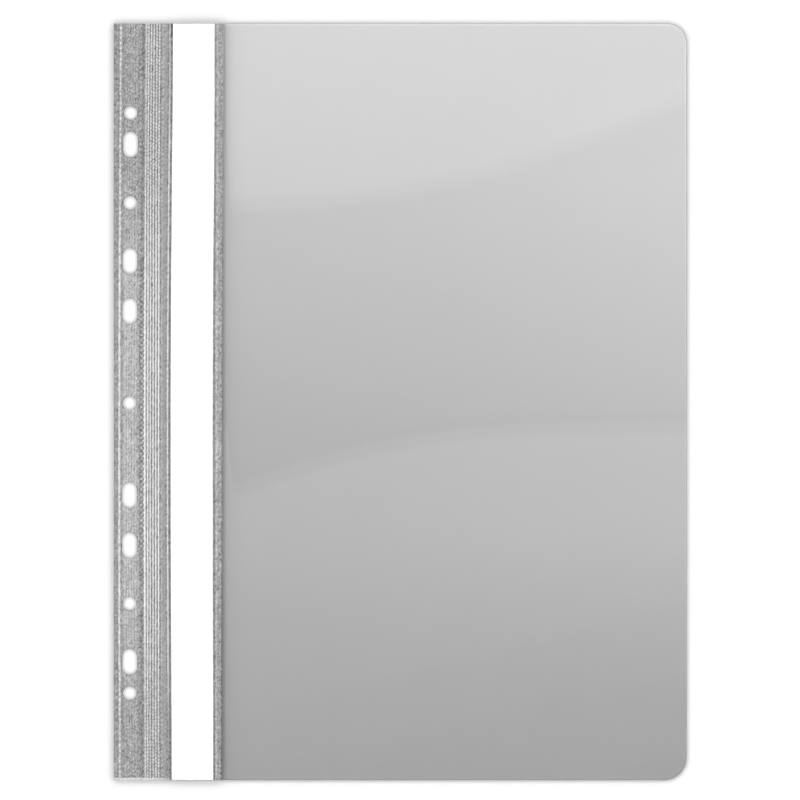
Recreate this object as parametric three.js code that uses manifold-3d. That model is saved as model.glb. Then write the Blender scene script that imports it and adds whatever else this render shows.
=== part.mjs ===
// A4 report file with a perforated filing margin: an opaque grey PVC back cover that
// is folded inwards at its left edge, a clear film front cover, an embossed grey strip
// that joins the two along the spine, a paper title strip in the pocket between strip
// and film, and the two-prong sheet-steel fastener under it.
//
// Millimetres, +Z up. The file lies on its back cover: X runs from the spine (left) to
// the opening edge (right), Y runs up the page, and the origin is the middle of the
// underside. Inside this file a place across the sheet is given as u, the distance from
// the left edge, so x = u - WIDTH / 2.

import * as THREE from "three";
import { mergeVertices } from "three/addons/utils/BufferGeometryUtils.js";
import Module from "manifold-3d";

// ---- overall ----
const WIDTH = 237; // spine edge to opening edge
const HEIGHT = 313; // top edge to bottom edge
const CORNER_TOP = 7.9; // rounding of the two right-hand corners
const CORNER_BOTTOM = 9.2;

// ---- sheets ----
const PVC = 0.18; // grey sheet, back cover and spine strip
const FILM = 0.15; // clear film of the front cover
const PAPER = 0.12; // title strip
const FILM_INSET = 0.4; // the film is cut this much inside the back cover
const LAYER_GAP = 0.02; // between sheets that lie on each other

// ---- filing margin, distances from the left edge ----
const WELD_END = 20.6; // hem and back are one welded thickness up to here
const MARGIN_END = 21.3; // the margin's side of the crease
const RIDGES = [
  [2.5, 0.9, 0.07],
  [13.0, 0.8, 0.07],
  [14.0, 0.5, 0.05],
  [15.1, 0.5, 0.05],
  [16.2, 0.5, 0.05],
  [17.3, 0.5, 0.05],
  [18.5, 0.5, 0.05],
]; // embossed lines: place, width at the foot, height
const ROUND_D = 5.5; // filing holes, 80 mm apart
const SLOT_W = 6.0; // oblong filing holes
const SLOT_L = 10.5;
const HOLE_LINE = 6.55; // middle of the hole column where it is nearest the edge
const HOLES = [
  [119.5, "round"],
  [106.5, "slot"],
  [82.4, "round"],
  [58.3, "slot"],
  [37.6, "slot"],
  [-0.5, "round"],
  [-38.6, "slot"],
  [-59.3, "slot"],
  [-83.4, "round"],
  [-107.5, "slot"],
  [-120.5, "round"],
];
// The hole column isn't quite straight: it bows away from the edge towards both ends.
const bow = (y) => 2.0e-5 * (y + 40) * (y + 40);

// ---- hem that carries the fastener ----
const HEM_END = 44;
const HEM_RISE = 26; // the hem lies this far in before it is up on the fastener's base
const SLIT_W = 0.7;
const SLIT_L = 6.4;

// ---- fastener ----
const PRONG_LINE = 35.5; // 12 mm from the paper's edge plus the crease
const PRONG_PITCH = 80;
const PRONG_W = 5;
const PRONG_T = 0.22;
const PRONG_LEN = 34; // folded over towards the middle
const BASE_OVER = 1.6; // base strip past each prong
const BAR_W = 8.5;
const BAR_L = 106;
const BAR_T = 0.25;
const BAR_LIP = 0.6;

// ---- heights of the stack over the spine ----
const Z_BASE = 0.2; // underside of the fastener's base strip
const Z_HEM = 0.45; // underside of the hem where it lies on the base strip
const Z_BAR = 0.65; // underside of the cover bar
const Z_PRONG = 0.92; // underside of the folded prongs
const TITLE_LEN = 312.4;
const TITLE_LINE = [
  [24.15, 0.89],
  [25.5, 1.03],
  [27.0, 1.22],
  [28.5, 1.41],
  [30.0, 1.53],
  [31.0, 1.56],
  [41.1, 1.56],
]; // middle of the paper, from its left edge to its right edge
const FLAP_LINE = [
  [21.5, 0.5],
  [22.1, 0.53],
  [22.8, 0.58],
  [23.5, 0.64],
  [24.2, 0.7],
  [25.5, 0.85],
  [27.0, 1.04],
  [28.5, 1.23],
  [30.0, 1.36],
  [31.0, 1.39],
  [40.6, 1.39],
  [41.8, 1.355],
  [43.2, 1.22],
  [44.2, 1.08],
  [45.1, 0.95],
]; // middle of the strip from the crease, up over the fastener and down again
const FILM_LINE = [
  [21.95, 0.72],
  [22.6, 0.77],
  [23.3, 0.845],
  [23.85, 1.03],
  [24.2, 1.08],
  [27.0, 1.4],
  [30.0, 1.7],
  [31.0, 1.73],
  [41.25, 1.73],
  [41.9, 1.56],
  [42.5, 1.475],
  [43.2, 1.405],
  [44.2, 1.265],
  [45.1, 1.135],
  [46.0, 1.03],
  [47.0, 0.94],
  [48.2, 0.86],
  [49.5, 0.8],
  [51.0, 0.755],
  [53.0, 0.725],
  [56.0, 0.705],
  [60.0, 0.7],
  [WIDTH, 0.7],
]; // middle of the film, out to the opening edge

// ---- colours and finishes ----
const grey = { color: 0x9a9a9a, roughness: 0.55, metalness: 0 };
const steel = { color: 0xb9bbbd, roughness: 0.3, metalness: 1 };

const wasm = await Module();
wasm.setup();

// A three.js geometry as a closed solid, ready to be cut.
function solid(geometry) {
  const bare = geometry.clone();
  bare.deleteAttribute("normal");
  bare.deleteAttribute("uv");
  const merged = mergeVertices(bare, 1e-4);
  return new wasm.Manifold(
    new wasm.Mesh({
      numProp: 3,
      vertProperties: new Float32Array(merged.attributes.position.array),
      triVerts: new Uint32Array(merged.index.array),
    }),
  );
}

function piece(name, body, look) {
  const m = body.getMesh();
  const positions = new Float32Array(m.numVert * 3);
  for (let i = 0; i < m.numVert; i++)
    positions.set(
      m.vertProperties.subarray(i * m.numProp, i * m.numProp + 3),
      i * 3,
    );
  const geometry = new THREE.BufferGeometry();
  geometry.setAttribute("position", new THREE.BufferAttribute(positions, 3));
  geometry.setIndex(new THREE.BufferAttribute(new Uint32Array(m.triVerts), 1));
  geometry.computeVertexNormals();
  const mesh = new THREE.Mesh(geometry, new THREE.MeshStandardMaterial(look));
  mesh.name = name;
  return mesh;
}

const X = (u) => u - WIDTH / 2;

// A closed outline in u and z, run along the whole height of the file.
function along(profile, y0, y1) {
  const shape = new THREE.Shape(
    profile.map(([u, z]) => new THREE.Vector2(X(u), z)),
  );
  const g = new THREE.ExtrudeGeometry(shape, {
    depth: y1 - y0,
    bevelEnabled: false,
  });
  // the extrusion runs along +Z: stand the outline up, and run it from y1 down to y0
  g.rotateX(Math.PI / 2);
  g.translate(0, y1, 0);
  return solid(g);
}

// A sheet of even thickness whose middle follows a bent line.
function ribbon(line, t) {
  const upper = [],
    lower = [];
  line.forEach(([u, z], i) => {
    const a = line[Math.max(0, i - 1)],
      b = line[Math.min(line.length - 1, i + 1)];
    const du = b[0] - a[0],
      dz = b[1] - a[1],
      l = Math.hypot(du, dz);
    const nu = (-dz / l) * (t / 2),
      nz = (du / l) * (t / 2);
    upper.push([u + nu, z + nz]);
    lower.push([u - nu, z - nz]);
  });
  return lower.concat(upper.reverse());
}

// The cut outline of a cover: square at the spine, rounded at the opening edge.
function coverBlank(left, inset, z0, z1) {
  const r = X(WIDTH) - inset,
    t = HEIGHT / 2 - inset,
    l = X(left);
  const s = new THREE.Shape();
  s.moveTo(l, -t);
  s.lineTo(r - CORNER_BOTTOM, -t);
  s.absarc(r - CORNER_BOTTOM, -t + CORNER_BOTTOM, CORNER_BOTTOM, -Math.PI / 2, 0, false);
  s.lineTo(r, t - CORNER_TOP);
  s.absarc(r - CORNER_TOP, t - CORNER_TOP, CORNER_TOP, 0, Math.PI / 2, false);
  s.lineTo(l, t);
  s.closePath();
  const g = new THREE.ExtrudeGeometry(s, {
    depth: z1 - z0,
    bevelEnabled: false,
    curveSegments: 12,
  });
  g.translate(0, 0, z0);
  return solid(g);
}

// One punch of the filing margin, run through in Z.
function punch([y, kind], z0, z1) {
  const s = new THREE.Shape(),
    cx = X(HOLE_LINE + bow(y));
  if (kind === "round") s.absarc(cx, y, ROUND_D / 2, 0, Math.PI * 2, false);
  else {
    const r = SLOT_W / 2,
      d = (SLOT_L - SLOT_W) / 2;
    s.absarc(cx, y + d, r, 0, Math.PI, false);
    s.absarc(cx, y - d, r, Math.PI, Math.PI * 2, false);
    s.closePath();
  }
  const g = new THREE.ExtrudeGeometry(s, {
    depth: z1 - z0,
    bevelEnabled: false,
    curveSegments: kind === "round" ? 24 : 12,
  });
  g.translate(0, 0, z0);
  return solid(g);
}

function slab(x0, x1, y0, y1, z0, z1) {
  const g = new THREE.BoxGeometry(x1 - x0, y1 - y0, z1 - z0);
  g.translate((x0 + x1) / 2, (y0 + y1) / 2, (z0 + z1) / 2);
  return solid(g);
}

function punched(body) {
  for (const hole of HOLES) body = body.subtract(punch(hole, -1, 2));
  return body;
}

// ---- back cover: one sheet, folded at the spine edge and hemmed inwards ----
const hemTop = 2 * PVC + LAYER_GAP;
let back = along(
  [
    [0.12, 0],
    [WIDTH, 0],
    [WIDTH, PVC],
    [WELD_END, PVC],
    [WELD_END, PVC + LAYER_GAP],
    [WELD_END + 1.4, PVC + LAYER_GAP + 0.02],
    [HEM_RISE - 0.6, Z_HEM - 0.02],
    [HEM_RISE, Z_HEM],
    [HEM_END, Z_HEM],
    [HEM_END, Z_HEM + PVC],
    [HEM_RISE - 0.1, Z_HEM + PVC],
    [HEM_RISE - 0.7, Z_HEM + PVC - 0.02],
    [WELD_END + 1.3, hemTop + 0.02],
    [WELD_END, hemTop],
    [0.12, hemTop],
    [0.03, hemTop - 0.08],
    [0, hemTop / 2],
    [0.03, 0.08],
  ],
  -HEIGHT / 2,
  HEIGHT / 2,
);
back = back.intersect(coverBlank(-1, 0, -1, 3));
back = punched(back);
for (const side of [-1, 1])
  back = back.subtract(
    slab(
      X(PRONG_LINE) - SLIT_L / 2,
      X(PRONG_LINE) + SLIT_L / 2,
      (side * PRONG_PITCH) / 2 - SLIT_W / 2,
      (side * PRONG_PITCH) / 2 + SLIT_W / 2,
      Z_HEM - 0.1,
      Z_HEM + PVC + 0.1,
    ),
  );

// ---- spine strip: the welded margin up to the crease, and the flap beyond it ----
const marginBottom = hemTop + LAYER_GAP,
  marginTop = marginBottom + PVC;
const relief = [];
for (const [u, w, h] of RIDGES)
  relief.push(
    [u - w / 2, marginTop],
    [u - w / 5, marginTop + h],
    [u + w / 5, marginTop + h],
    [u + w / 2, marginTop],
  );
let margin = along(
  [
    [0.15, marginBottom],
    [MARGIN_END, marginBottom],
    [MARGIN_END, marginTop - 0.04],
    [MARGIN_END - 1.2, marginTop],
    ...relief.reverse(),
    [0.25, marginTop],
    [0.15, marginTop - 0.06],
  ],
  -HEIGHT / 2,
  HEIGHT / 2,
);
margin = punched(margin);

const flap = along(ribbon(FLAP_LINE, PVC), -HEIGHT / 2, HEIGHT / 2);

// ---- title strip ----
const title = along(ribbon(TITLE_LINE, PAPER), -TITLE_LEN / 2, TITLE_LEN / 2);

// ---- front cover: clear film, welded on the flap along both sides of the pocket ----
let film = along(ribbon(FILM_LINE, FILM), -HEIGHT / 2, HEIGHT / 2);
film = film.intersect(coverBlank(20, FILM_INSET, -1, 4));

// ---- fastener: base strip with two prongs bent up through the hem and folded over ----
const p = PRONG_PITCH / 2,
  t = PRONG_T,
  up = Z_PRONG + t;
const prongShape = new THREE.Shape(
  [
    [-p - BASE_OVER, Z_BASE],
    [p + BASE_OVER, Z_BASE],
    [p + BASE_OVER, Z_BASE + t],
    [p + t / 2, Z_BASE + t],
    [p + t / 2, up - 0.06],
    [p + t / 2 - 0.06, up],
    [p - PRONG_LEN, up],
    [p - PRONG_LEN, up - t],
    [p - t / 2, up - t],
    [p - t / 2, Z_BASE + t],
    [-p + t / 2, Z_BASE + t],
    [-p + t / 2, up - t],
    [-p + PRONG_LEN, up - t],
    [-p + PRONG_LEN, up],
    [-p - t / 2 + 0.06, up],
    [-p - t / 2, up - 0.06],
    [-p - t / 2, Z_BASE + t],
    [-p - BASE_OVER, Z_BASE + t],
  ].map(([y, z]) => new THREE.Vector2(y, z)),
);
const prongBlank = new THREE.ExtrudeGeometry(prongShape, {
  depth: PRONG_W,
  bevelEnabled: false,
});
// outline in y and z, width along x
prongBlank.applyMatrix4(
  new THREE.Matrix4().makeBasis(
    new THREE.Vector3(0, 1, 0),
    new THREE.Vector3(0, 0, 1),
    new THREE.Vector3(1, 0, 0),
  ),
);
prongBlank.translate(X(PRONG_LINE) - PRONG_W / 2, 0, 0);
let prongs = solid(prongBlank);
// the prongs' free ends are rounded
for (const side of [-1, 1]) {
  const end = side * (p - PRONG_LEN),
    r = PRONG_W / 2,
    s = new THREE.Shape(),
    cx = X(PRONG_LINE);
  s.moveTo(cx - r - 1, end - side * 1);
  s.lineTo(cx + r + 1, end - side * 1);
  s.lineTo(cx + r + 1, end + side * r);
  s.lineTo(cx + r, end + side * r);
  for (let i = 1; i < 8; i++) {
    const a = (Math.PI * i) / 8;
    s.lineTo(cx + r * Math.cos(a), end + side * (r - r * Math.sin(a)));
  }
  s.lineTo(cx - r, end + side * r);
  s.lineTo(cx - r - 1, end + side * r);
  s.closePath();
  const g = new THREE.ExtrudeGeometry(s, { depth: 1, bevelEnabled: false });
  g.translate(0, 0, Z_PRONG - 0.2);
  prongs = prongs.subtract(solid(g));
}

// ---- fastener: shallow channel that the prongs hold down ----
const b = BAR_W / 2,
  bu = PRONG_LINE;
let bar = along(
  [
    [bu - b + 0.1, Z_BAR],
    [bu + b - 0.1, Z_BAR],
    [bu + b, Z_BAR + 0.1],
    [bu + b, Z_BAR + BAR_LIP],
    [bu + b - BAR_T, Z_BAR + BAR_LIP],
    [bu + b - BAR_T, Z_BAR + BAR_T + 0.08],
    [bu + b - BAR_T - 0.08, Z_BAR + BAR_T],
    [bu - b + BAR_T + 0.08, Z_BAR + BAR_T],
    [bu - b + BAR_T, Z_BAR + BAR_T + 0.08],
    [bu - b + BAR_T, Z_BAR + BAR_LIP],
    [bu - b, Z_BAR + BAR_LIP],
    [bu - b, Z_BAR + 0.1],
  ],
  -BAR_L / 2,
  BAR_L / 2,
);
for (const side of [-1, 1])
  bar = bar.subtract(
    slab(
      X(bu) - SLIT_L / 2,
      X(bu) + SLIT_L / 2,
      side * p - 1.1,
      side * p + 1.1,
      Z_BAR - 0.2,
      Z_BAR + BAR_T + 0.02,
    ),
  );
// rounded ends
for (const side of [-1, 1]) {
  const y = (side * BAR_L) / 2,
    r = 2.2,
    s = new THREE.Shape(),
    x0 = X(bu) - b,
    x1 = X(bu) + b;
  for (const [x, k] of [
    [x0, 1],
    [x1, -1],
  ]) {
    const c = new THREE.Shape();
    c.moveTo(x - k * 1, y + side * 1);
    c.lineTo(x + k * r, y + side * 1);
    c.lineTo(x + k * r, y);
    for (let i = 1; i < 6; i++) {
      const a = (Math.PI / 2) * (i / 6);
      c.lineTo(
        x + k * (r - r * Math.sin(a)),
        y - side * (r - r * Math.cos(a)),
      );
    }
    c.lineTo(x, y - side * r);
    c.lineTo(x - k * 1, y - side * r);
    c.closePath();
    const g = new THREE.ExtrudeGeometry(c, { depth: 2, bevelEnabled: false });
    g.translate(0, 0, Z_BAR - 0.5);
    bar = bar.subtract(solid(g));
  }
}

const file = new THREE.Group();
file.add(
  piece("back_cover", back, grey),
  piece("binding_margin", margin, grey),
  piece("title_flap", flap, grey),
  piece("front_cover", film, {
    color: 0xe8e8e8,
    roughness: 0.12,
    metalness: 0,
    transparent: true,
    opacity: 0.3,
  }),
  piece("title_strip", title, { color: 0xffffff, roughness: 0.85, metalness: 0 }),
  piece("fastener_prongs", prongs, steel),
  piece("fastener_bar", bar, steel),
);

export default file;
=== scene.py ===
import math

import bpy
import bmesh
import numpy as np
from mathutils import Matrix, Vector
from mathutils.geometry import delaunay_2d_cdt


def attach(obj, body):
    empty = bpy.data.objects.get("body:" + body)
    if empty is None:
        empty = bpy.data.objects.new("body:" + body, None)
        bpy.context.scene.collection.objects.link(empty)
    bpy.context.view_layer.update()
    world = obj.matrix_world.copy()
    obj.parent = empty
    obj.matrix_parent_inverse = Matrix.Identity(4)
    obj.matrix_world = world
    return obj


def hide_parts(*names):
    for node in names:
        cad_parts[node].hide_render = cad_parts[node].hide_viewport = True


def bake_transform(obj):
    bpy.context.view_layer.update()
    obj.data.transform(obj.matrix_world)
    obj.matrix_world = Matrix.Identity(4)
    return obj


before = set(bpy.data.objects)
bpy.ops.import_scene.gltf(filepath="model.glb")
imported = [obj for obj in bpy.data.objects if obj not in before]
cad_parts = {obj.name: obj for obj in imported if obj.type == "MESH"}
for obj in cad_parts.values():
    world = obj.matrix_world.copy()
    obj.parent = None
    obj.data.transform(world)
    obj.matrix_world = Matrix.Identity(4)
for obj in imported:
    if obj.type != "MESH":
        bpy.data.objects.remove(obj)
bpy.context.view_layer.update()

MM = 0.001

# ---------------------------------------------------------------- sizes, mm
WIDTH, HEIGHT = 237.0, 313.0
R_TOP, R_BOTTOM = 7.9, 9.2
PVC, FILM, PAPER = 0.18, 0.15, 0.12
INSET = 0.2
HOLE_LINE = 6.55
ROUND_R, SLOT_R, SLOT_HALF = 2.75, 3.0, 2.25
HOLES = [(119.5, 0), (106.5, 1), (82.4, 0), (58.3, 1), (37.6, 1), (-0.5, 0),
         (-38.6, 1), (-59.3, 1), (-83.4, 0), (-107.5, 1), (-120.5, 0)]
PXMM = 2.418                       # pixels of the 800 px frame per millimetre
VIEW_X, VIEW_Y = -0.04, 0.79       # what the middle of the frame looks at


def bow(y):
    """The embossed lines, holes and title strip curve away from the spine edge a little towards both ends."""
    return 2.0e-5 * (y + 40.0) ** 2


def smooth(a, b, x):
    t = np.clip((np.asarray(x, float) - a) / (b - a), 0, 1)
    return t * t * (3 - 2 * t)


# the crease and the two sides of the title strip's pocket bend more than the margin's lines do
BEND_Y = (-156.5, -140, -123, -90, -50, 0, 34, 75, 104, 133, 156.5)
BEND_LEFT = (0.47, 0.43, 0.33, 0.18, 0.02, 0.0, 0.15, 0.46, 0.74, 1.03, 1.08)
BEND_RIGHT = (0.22, 0.20, 0.18, 0.08, 0.02, 0.0, 0.06, 0.32, 0.50, 0.66, 0.64)
BEND_EDGE = (-0.36, -0.34, -0.32, -0.22, -0.11, 0.0, 0.02, 0.05, 0.09, 0.13, 0.14)


def shift(u, y):
    """How far to the right the sheet's lines lie at u, y from where a straight one would."""
    crease, label = smooth(19.5, 21.9, u), smooth(25.0, 40.0, u)
    left, right, edge = (np.interp(y, BEND_Y, v) for v in (BEND_LEFT, BEND_RIGHT, BEND_EDGE))
    band, flat = smooth(41.1, 44.6, u), smooth(45.2, 52.0, u)
    return (bow(y) * smooth(0.0, 2.2, u) * (1 - crease) + left * crease * (1 - label)
            + (right * label * (1 - 0.8 * band) + edge * band) * (1 - flat))


def sag(u, y):
    """The pocket stands up over the fastener and sinks towards both ends of the file."""
    return 0.50 * smooth(60.0, 118.0, np.abs(y)) * smooth(24.4, 31.0, u) * (1 - smooth(41.0, 44.9, u))


def lattice(seed, period_y, y, x=None, period_x=1.0):
    """Smooth seeded noise in -1..1, cubic between random values on a grid."""
    rng = np.random.default_rng(seed)
    t = rng.uniform(-1, 1, (256, 1024))
    fy = (np.asarray(y, float) + 400) / period_y
    fx = np.zeros_like(fy) if x is None else (np.asarray(x, float) + 50) / period_x
    iy, ix = np.floor(fy).astype(int), np.floor(fx).astype(int)
    ty, tx = fy - iy, fx - ix
    ty, tx = ty * ty * (3 - 2 * ty), tx * tx * (3 - 2 * tx)
    g = lambda a, b: t[(ix + a) % 256, (iy + b) % 1024]
    return ((g(0, 0) * (1 - tx) + g(1, 0) * tx) * (1 - ty)
            + (g(0, 1) * (1 - tx) + g(1, 1) * tx) * ty)


def link(obj):
    bpy.context.scene.collection.objects.link(obj)
    return obj


def mesh_object(name, verts, faces, attrs=None, smooth_faces=True):
    me = bpy.data.meshes.new(name)
    me.from_pydata([tuple(v) for v in verts], [], faces)
    me.update()
    for key, values in (attrs or {}).items():
        a = me.attributes.new(key, "FLOAT", "POINT")
        a.data.foreach_set("value", np.asarray(values, np.float32))
    me.polygons.foreach_set("use_smooth", [smooth_faces] * len(me.polygons))
    me.update()
    return link(bpy.data.objects.new(name, me))


# ---------------------------------------------------------------- node helpers
def new_material(name):
    m = bpy.data.materials.new(name)
    m.use_nodes = True
    m.node_tree.nodes.clear()
    return m, m.node_tree


def node(nt, kind, **values):
    n = nt.nodes.new(kind)
    for k, v in values.items():
        setattr(n, k, v)
    return n


def maths(nt, op, a, b=None, c=None, clamp=False):
    n = node(nt, "ShaderNodeMath", operation=op, use_clamp=clamp)
    for i, v in enumerate((a, b, c)):
        if v is None:
            continue
        if isinstance(v, (int, float)):
            n.inputs[i].default_value = v
        else:
            nt.links.new(v, n.inputs[i])
    return n.outputs[0]


def noise(nt, vector, scale, detail=2.0, rough=0.5):
    n = node(nt, "ShaderNodeTexNoise")
    n.inputs["Scale"].default_value = scale
    n.inputs["Detail"].default_value = detail
    n.inputs["Roughness"].default_value = rough
    nt.links.new(vector, n.inputs["Vector"])
    return n.outputs["Fac"]


def grey(nt, value):
    n = node(nt, "ShaderNodeCombineColor")
    for i in range(3):
        nt.links.new(value, n.inputs[i])
    return n.outputs[0]


# ---------------------------------------------------------------- materials
def outline_distance(nt, pos):
    """Distance in metres to the cut outline of the covers, negative inside it."""
    sep = node(nt, "ShaderNodeSeparateXYZ")
    nt.links.new(pos, sep.inputs[0])
    low = maths(nt, "LESS_THAN", sep.outputs["Y"], 0.0)
    r = maths(nt, "MULTIPLY_ADD", low, (R_BOTTOM - R_TOP) * MM, R_TOP * MM)
    dx = maths(nt, "ADD", maths(nt, "SUBTRACT", sep.outputs["X"], WIDTH / 2 * MM), r)
    dy = maths(nt, "ADD", maths(nt, "SUBTRACT", maths(nt, "ABSOLUTE", sep.outputs["Y"]), HEIGHT / 2 * MM), r)
    dx, dy = maths(nt, "MAXIMUM", dx, 0.0), maths(nt, "MAXIMUM", dy, 0.0)
    l = maths(nt, "SQRT", maths(nt, "ADD", maths(nt, "MULTIPLY", dx, dx), maths(nt, "MULTIPLY", dy, dy)))
    return maths(nt, "SUBTRACT", l, r)


def pvc_material(name, base, attribute=None, grain=0.05, bump=0.25, bump_scale=1500.0, rough=0.45, rim=1.0,
                 shine=0.5):
    """Matt calendered PVC: grey with a fine grain; the embossed strip's lightness, its own tone with painted
    highlights and shade mixed in, comes from an attribute.
    """
    m, nt = new_material(name)
    out = node(nt, "ShaderNodeOutputMaterial")
    bsdf = node(nt, "ShaderNodeBsdfPrincipled")
    nt.links.new(bsdf.outputs[0], out.inputs["Surface"])
    pos = node(nt, "ShaderNodeTexCoord").outputs["Object"]
    fine = noise(nt, pos, bump_scale, 2.0, 0.6)
    broad = noise(nt, pos, 42.0, 2.0, 0.5)
    if attribute:
        a = node(nt, "ShaderNodeAttribute", attribute_name=attribute)
        value = a.outputs["Fac"]
    else:
        v = node(nt, "ShaderNodeValue")
        v.outputs[0].default_value = base
        value = v.outputs[0]
    spread = maths(nt, "MULTIPLY_ADD", fine, 2 * grain, 1 - grain)
    slow = maths(nt, "MULTIPLY_ADD", broad, 0.03, 0.985)
    value = maths(nt, "MULTIPLY", maths(nt, "MULTIPLY", value, spread), slow)
    if rim < 1:
        # the bare rim outside the film is painted darker than the sheet behind it, as painted shade along the cut edge
        near = node(nt, "ShaderNodeMapRange", interpolation_type="SMOOTHSTEP", clamp=True)
        for i, v in enumerate((-0.42 * MM, -0.30 * MM, 1.0, rim)):
            near.inputs[i + 1].default_value = v
        nt.links.new(outline_distance(nt, pos), near.inputs[0])
        value = maths(nt, "MULTIPLY", value, near.outputs[0])
    nt.links.new(grey(nt, value), bsdf.inputs["Base Color"])
    if bump:
        nt.links.new(maths(nt, "MULTIPLY_ADD", fine, 0.12, rough - 0.06), bsdf.inputs["Roughness"])
    else:
        bsdf.inputs["Roughness"].default_value = rough
    bsdf.inputs["IOR"].default_value = 1.5
    bsdf.inputs["Specular IOR Level"].default_value = shine
    if bump:
        b = node(nt, "ShaderNodeBump")
        b.inputs["Strength"].default_value = bump
        b.inputs["Distance"].default_value = 0.00004
        nt.links.new(fine, b.inputs["Height"])
        nt.links.new(b.outputs[0], bsdf.inputs["Normal"])
    return m


def film_material():
    """Clear glazed PVC film: it passes what lies behind it unbent and mirrors the soft box over it."""
    m, nt = new_material("clear_film")
    out = node(nt, "ShaderNodeOutputMaterial")
    both = node(nt, "ShaderNodeAddShader")
    clear = node(nt, "ShaderNodeBsdfTransparent")
    clear.inputs["Color"].default_value = (0.975, 0.975, 0.975, 1)
    gloss = node(nt, "ShaderNodeBsdfGlossy")
    gloss.inputs["Roughness"].default_value = 0.03
    # both faces' mirroring is carried by the face that the ray meets first
    facing = node(nt, "ShaderNodeLayerWeight")
    facing.inputs["Blend"].default_value = 0.5
    first = maths(nt, "SUBTRACT", 1.0, node(nt, "ShaderNodeNewGeometry").outputs["Backfacing"])
    share = maths(nt, "MULTIPLY_ADD", maths(nt, "POWER", facing.outputs["Facing"], 5.0), 0.3, 0.072)
    # the glaze is strongest straight on
    glaze = node(nt, "ShaderNodeMapRange", interpolation_type="SMOOTHSTEP", clamp=True)
    for i, v in enumerate((0.02, 0.12, 0.33, 0.0)):
        glaze.inputs[i + 1].default_value = v
    nt.links.new(facing.outputs["Facing"], glaze.inputs[0])
    share = maths(nt, "ADD", share, glaze.outputs[0])
    # where it is welded its face is knurled and mirrors next to nothing; the mirror attribute also carries painted
    # shade on the reflection beside the weld band and a painted highlight along the cut edge
    mirror = node(nt, "ShaderNodeAttribute", attribute_name="mirror").outputs["Fac"]
    nt.links.new(grey(nt, maths(nt, "MULTIPLY", maths(nt, "MULTIPLY", share, first), mirror)), gloss.inputs["Color"])
    nt.links.new(clear.outputs[0], both.inputs[0])
    nt.links.new(gloss.outputs[0], both.inputs[1])
    nt.links.new(both.outputs[0], out.inputs["Surface"])
    return m


def paper_material():
    m, nt = new_material("title_paper")
    out = node(nt, "ShaderNodeOutputMaterial")
    bsdf = node(nt, "ShaderNodeBsdfPrincipled")
    nt.links.new(bsdf.outputs[0], out.inputs["Surface"])
    pos = node(nt, "ShaderNodeTexCoord").outputs["Object"]
    stretch = node(nt, "ShaderNodeMapping")
    stretch.inputs["Scale"].default_value = (1, 0.35, 1)
    nt.links.new(pos, stretch.inputs["Vector"])
    fibre = noise(nt, stretch.outputs[0], 1800.0, 3.0, 0.65)
    value = maths(nt, "MULTIPLY_ADD", fibre, 0.03, 0.935)
    nt.links.new(grey(nt, value), bsdf.inputs["Base Color"])
    bsdf.inputs["Roughness"].default_value = 0.8
    bsdf.inputs["Specular IOR Level"].default_value = 0.3
    b = node(nt, "ShaderNodeBump")
    b.inputs["Strength"].default_value = 0.2
    b.inputs["Distance"].default_value = 0.00002
    nt.links.new(fibre, b.inputs["Height"])
    nt.links.new(b.outputs[0], bsdf.inputs["Normal"])
    return m


def steel_material():
    m, nt = new_material("tinned_steel")
    out = node(nt, "ShaderNodeOutputMaterial")
    bsdf = node(nt, "ShaderNodeBsdfPrincipled")
    nt.links.new(bsdf.outputs[0], out.inputs["Surface"])
    pos = node(nt, "ShaderNodeTexCoord").outputs["Object"]
    stretch = node(nt, "ShaderNodeMapping")
    stretch.inputs["Scale"].default_value = (1, 0.04, 1)
    nt.links.new(pos, stretch.inputs["Vector"])
    lines = noise(nt, stretch.outputs[0], 2600.0, 3.0, 0.6)
    spots = noise(nt, pos, 160.0, 3.0, 0.6)
    value = maths(nt, "MULTIPLY_ADD", lines, 0.14, maths(nt, "MULTIPLY_ADD", spots, 0.10, 0.50))
    nt.links.new(grey(nt, value), bsdf.inputs["Base Color"])
    bsdf.inputs["Metallic"].default_value = 1.0
    nt.links.new(maths(nt, "MULTIPLY_ADD", lines, 0.16, 0.24), bsdf.inputs["Roughness"])
    b = node(nt, "ShaderNodeBump")
    b.inputs["Strength"].default_value = 0.25
    b.inputs["Distance"].default_value = 0.00002
    nt.links.new(lines, b.inputs["Height"])
    nt.links.new(b.outputs[0], bsdf.inputs["Normal"])
    return m


# rim=0.76 paints shade along the back cover's cut edge
BACK_PVC = pvc_material("grey_pvc_back", 0.3145, grain=0.004, bump=0.0, bump_scale=2200.0, rough=0.45, rim=0.76,
                        shine=0.5)
STRIP_PVC = pvc_material("grey_pvc_embossed", 0.25, attribute="tone_with_painted_light", grain=0.34, bump=0.5,
                         bump_scale=2700.0, rough=0.50, shine=0.15)
FILM_MAT = film_material()
PAPER_MAT = paper_material()
STEEL_MAT = steel_material()

# ---------------------------------------------------------------- spine strip
FLAP_LINE = [(21.5, 0.5), (22.1, 0.53), (22.8, 0.58), (23.5, 0.64), (24.2, 0.7), (25.5, 0.85),
             (27.0, 1.04), (28.5, 1.23), (30.0, 1.36), (31.0, 1.39), (40.6, 1.39), (41.8, 1.355),
             (43.2, 1.22), (44.2, 1.08), (45.1, 0.95)]
STRIP_Z = [(0.15, 0.49), (20.3, 0.49), (20.9, 0.485)] + FLAP_LINE    # middle of the sheet
RIBS = (14.1, 15.15, 16.3, 17.45, 18.6)
FAINT = (4.70, 5.78, 6.80, 7.95, 9.10)


def strip_mid(u):
    p = np.array(STRIP_Z)
    return np.interp(u, p[:, 0], p[:, 1])


def strip_normal(u):
    d = (strip_mid(u + 0.15) - strip_mid(u - 0.15)) / 0.3
    l = np.sqrt(1 + d * d)
    return -d / l, 1 / l


def line(u, c, w):
    return np.exp(-((u - c) / w) ** 2)


BASE = 0.284


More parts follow.
